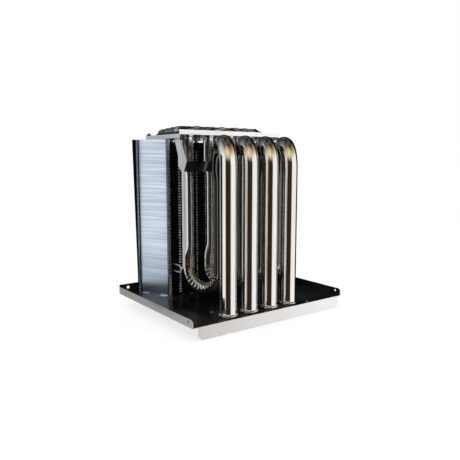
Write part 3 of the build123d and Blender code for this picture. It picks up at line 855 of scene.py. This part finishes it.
class EXCHANGER_OT_stage(bpy.types.Operator):
    """Sets up the floor, the studio light and the camera."""

    bl_idname = "exchanger.stage"
    bl_label = "Stage"

    def floor(self):
        """Painted floor, pale with a fine roller grain. It glows to the camera, so that it is white, and
        still darkens in the object's shadow."""
        made, tree, shader, place = blank_material("white_floor_paint")
        wear(tree, shader, grain(tree, place, 3.0), ("#9c9c9c", "#969696"), (0.85, 0.95), 0.05)
        shader.inputs["Specular IOR Level"].default_value = 0.0
        path = add(tree, "ShaderNodeLightPath").outputs
        seen = path["Is Camera Ray"]
        for kind in ("Is Glossy Ray", "Is Transmission Ray"):
            links = {0: seen, 1: path[kind]}
            seen = add(tree, "ShaderNodeMath", links=links, operation="MAXIMUM").outputs[0]
        dark = add(tree, "ShaderNodeEmission", {"Strength": 0.0})
        glow = add(tree, "ShaderNodeEmission", {"Color": (1, 1, 1, 1), "Strength": 0.72})
        glow = add(tree, "ShaderNodeMixShader", links={0: seen, 1: dark.outputs[0], 2: glow.outputs[0]})
        both = add(tree, "ShaderNodeAddShader", links={0: shader.outputs[0], 1: glow.outputs[0]})
        output = next(n for n in tree.nodes if n.type == "OUTPUT_MATERIAL")
        tree.links.new(both.outputs[0], output.inputs["Surface"])
        disc = turned([(r, 0.0) for r in (2.2, 1.4, 0.8, 0.4, 0.001)], (0, 0, -0.0004), 96)
        self.backdrop("floor", disc, made).visible_glossy = False

    def backdrop(self, name, grid, finish, close_round=True):
        """Adds a surface that isn't part of the object."""
        mesh = bpy.data.meshes.new(name)
        mesh.from_pydata(grid.reshape(-1, 3).tolist(), [], skin(grid, close_round).tolist())
        mesh.materials.append(finish)
        mesh.shade_smooth()
        made = bpy.data.objects.new(name, mesh)
        bpy.context.scene.collection.objects.link(made)
        return made

    def tent(self):
        """White light tent with dark stretches, as polished metal is photographed in: only mirrors see it.

        Its colour follows the direction's turn round Z, then its height: white walls, a brown stretch behind
        the camera with a pale warm lamp over it, a black stretch ahead and a dark, streaky top.
        """
        made, tree, shader, place = blank_material("tent_cloth")
        ray = add(tree, "ShaderNodeVectorMath", links={0: place}, operation="NORMALIZE").outputs[0]
        parts = add(tree, "ShaderNodeSeparateXYZ", links={"Vector": ray}).outputs
        links = {0: parts["Y"], 1: parts["X"]}
        turn = add(tree, "ShaderNodeMath", links=links, operation="ARCTAN2").outputs[0]
        values = {"From Min": -math.pi, "From Max": math.pi}
        walls = add(tree, "ShaderNodeMapRange", values, {"Value": turn}).outputs[0]
        ramp = add(tree, "ShaderNodeValToRGB", links={"Fac": walls})
        elements = ramp.color_ramp.elements
        for stop, colour in zip(elements, (TENT_WALLS[0][1], TENT_WALLS[-1][1])):
            stop.color = linear(colour)
        for angle, colour in TENT_WALLS[1:-1]:
            elements.new((angle + 180) / 360).color = linear(colour)
        across = band(tree, turn, [(math.radians(angle), height) for angle, height in LAMP_ACROSS])
        upward = band(tree, parts["Z"], LAMP_UPWARD)
        lamp = add(tree, "ShaderNodeMath", links={0: across, 1: upward}, operation="MULTIPLY").outputs[0]
        values = {"From Min": 0.42, "From Max": 0.9}
        top = add(tree, "ShaderNodeMapRange", values, {"Value": parts["Z"]}).outputs[0]
        folds = grain(tree, ray, 450.0)
        values = {"From Min": 0.45, "From Max": 0.68}
        level = add(tree, "ShaderNodeMapRange", values, {"Value": folds}).outputs[0]
        values = {6: linear("#241f1b"), 7: linear("#7a7269")}
        cloth = add(tree, "ShaderNodeMix", values, {0: level}, data_type="RGBA").outputs[2]
        links = {0: top, 6: ramp.outputs[0], 7: cloth}
        sky = add(tree, "ShaderNodeMix", links=links, data_type="RGBA").outputs[2]
        values = {7: linear("#fcf1d2")}
        colour = add(tree, "ShaderNodeMix", values, {0: lamp, 6: sky}, data_type="RGBA").outputs[2]
        glow = add(tree, "ShaderNodeEmission", {"Strength": 1.0}, {"Color": colour})
        output = next(n for n in tree.nodes if n.type == "OUTPUT_MATERIAL")
        tree.links.new(glow.outputs[0], output.inputs["Surface"])
        tree.nodes.remove(shader)
        angle = np.linspace(-np.pi / 2 + 0.001, np.pi / 2 - 0.001, 49)
        radius = bpy.context.scene.exchanger_studio.tent_radius
        ball = turned(np.stack([radius * np.cos(angle), radius * np.sin(angle)], axis=1), (0, 0, 0), 96)
        self.only_mirrored(self.backdrop("light_tent", ball, made))

    def only_mirrored(self, backdrop):
        """Hides a backdrop from all but mirrors."""
        for kind in ("camera", "diffuse", "transmission", "shadow", "volume_scatter"):
            setattr(backdrop, f"visible_{kind}", False)

    def flag(self):
        """Black felt card left of the exchanger, which its polished tubes mirror."""
        made, tree, shader, place = blank_material("black_flag_felt")
        wear(tree, shader, grain(tree, place, 2.0), ("#0b0b0b", "#050505"), (0.9, 1.0), 0.1)
        shader.inputs["Specular IOR Level"].default_value = 0.0
        edge, front, rear, foot, top = FLAG
        card = np.array([[(edge, y, z) for y in (front, rear)] for z in (foot, top)])
        self.only_mirrored(self.backdrop("flag", card, made, close_round=False))

    def world(self):
        """Plain white surroundings."""
        world = bpy.data.worlds.new("studio")
        bpy.context.scene.world = world
        world.use_nodes = True
        tree = world.node_tree
        tree.nodes.clear()
        white = add(tree, "ShaderNodeBackground", {"Color": (1, 1, 1, 1), "Strength": 1.0})
        add(tree, "ShaderNodeOutputWorld", links={"Surface": white.outputs[0]})

    def light(self, name, place, size, power):
        """Large soft lamp that points at the middle of the object and isn't mirrored in the metal."""
        lamp = bpy.data.lights.new(name, "AREA")
        lamp.size = size
        lamp.energy = power
        made = bpy.data.objects.new(name, lamp)
        bpy.context.scene.collection.objects.link(made)
        made.location = place
        middle_height = 0.25
        aim = np.array([0, 0, middle_height]) - np.array(place)
        flat = math.hypot(aim[0], aim[1])
        made.rotation_euler = (math.atan2(flat, -aim[2]), 0, math.atan2(aim[1], aim[0]) - math.pi / 2)
        made.visible_glossy = False

    def execute(self, context):
        settings = context.scene.exchanger_studio
        self.floor()
        self.tent()
        self.flag()
        self.world()
        self.light("key_light", (-1.6, -1.2, 2.2), 1.6, 8.0)
        self.light("fill_light", (1.8, -1.0, 1.6), 1.6, 3.0)
        lens = bpy.data.cameras.new("camera")
        lens.sensor_width = settings.sensor
        lens.lens = settings.lens
        camera = bpy.data.objects.new("camera", lens)
        context.scene.collection.objects.link(camera)
        camera.location = settings.camera_place
        camera.rotation_euler = (math.pi / 2 - settings.pitch, 0, -settings.heading)
        context.scene.camera = camera
        context.scene.view_settings.view_transform = "Standard"
        return {"FINISHED"}


class EXCHANGER_PT_panel(bpy.types.Panel):
    """Lists the makers in the sidebar."""

    bl_idname = "EXCHANGER_PT_panel"
    bl_label = "Heat exchanger"
    bl_space_type = "VIEW_3D"
    bl_region_type = "UI"
    bl_category = "Exchanger"

    def draw(self, context):
        for operator in OPERATORS:
            self.layout.operator(operator.bl_idname)


OPERATORS = (
    EXCHANGER_OT_stage,
    EXCHANGER_OT_tubes,
    EXCHANGER_OT_sheet_metal,
    EXCHANGER_OT_collector,
    EXCHANGER_OT_coil,
    EXCHANGER_OT_strap,
    EXCHANGER_OT_clips,
    EXCHANGER_OT_fasteners,
)
GROUPS = {
    "exchanger_tubes": TubeSizes,
    "exchanger_coil": CoilSizes,
    "exchanger_cover": CoverSizes,
    "exchanger_small": SmallPartSizes,
    "exchanger_studio": StudioSettings,
}


def register():
    """Registers the classes and hangs their settings on the scene."""
    for cls in (*GROUPS.values(), *OPERATORS, EXCHANGER_PT_panel):
        bpy.utils.register_class(cls)
    for name, group in GROUPS.items():
        setattr(bpy.types.Scene, name, PointerProperty(type=group))


def unregister():
    """Takes the settings and the classes away again."""
    for name in GROUPS:
        delattr(bpy.types.Scene, name)
    for cls in (EXCHANGER_PT_panel, *reversed(OPERATORS), *GROUPS.values()):
        bpy.utils.unregister_class(cls)


def main():
    """Makes every piece in order."""
    register()
    bpy.ops.exchanger.stage()
    bpy.ops.exchanger.tubes()
    bpy.ops.exchanger.sheet_metal()
    bpy.ops.exchanger.collector()
    bpy.ops.exchanger.coil()
    bpy.ops.exchanger.strap()
    bpy.ops.exchanger.clips()
    bpy.ops.exchanger.fasteners()


if __name__ == "__main__":
    main()
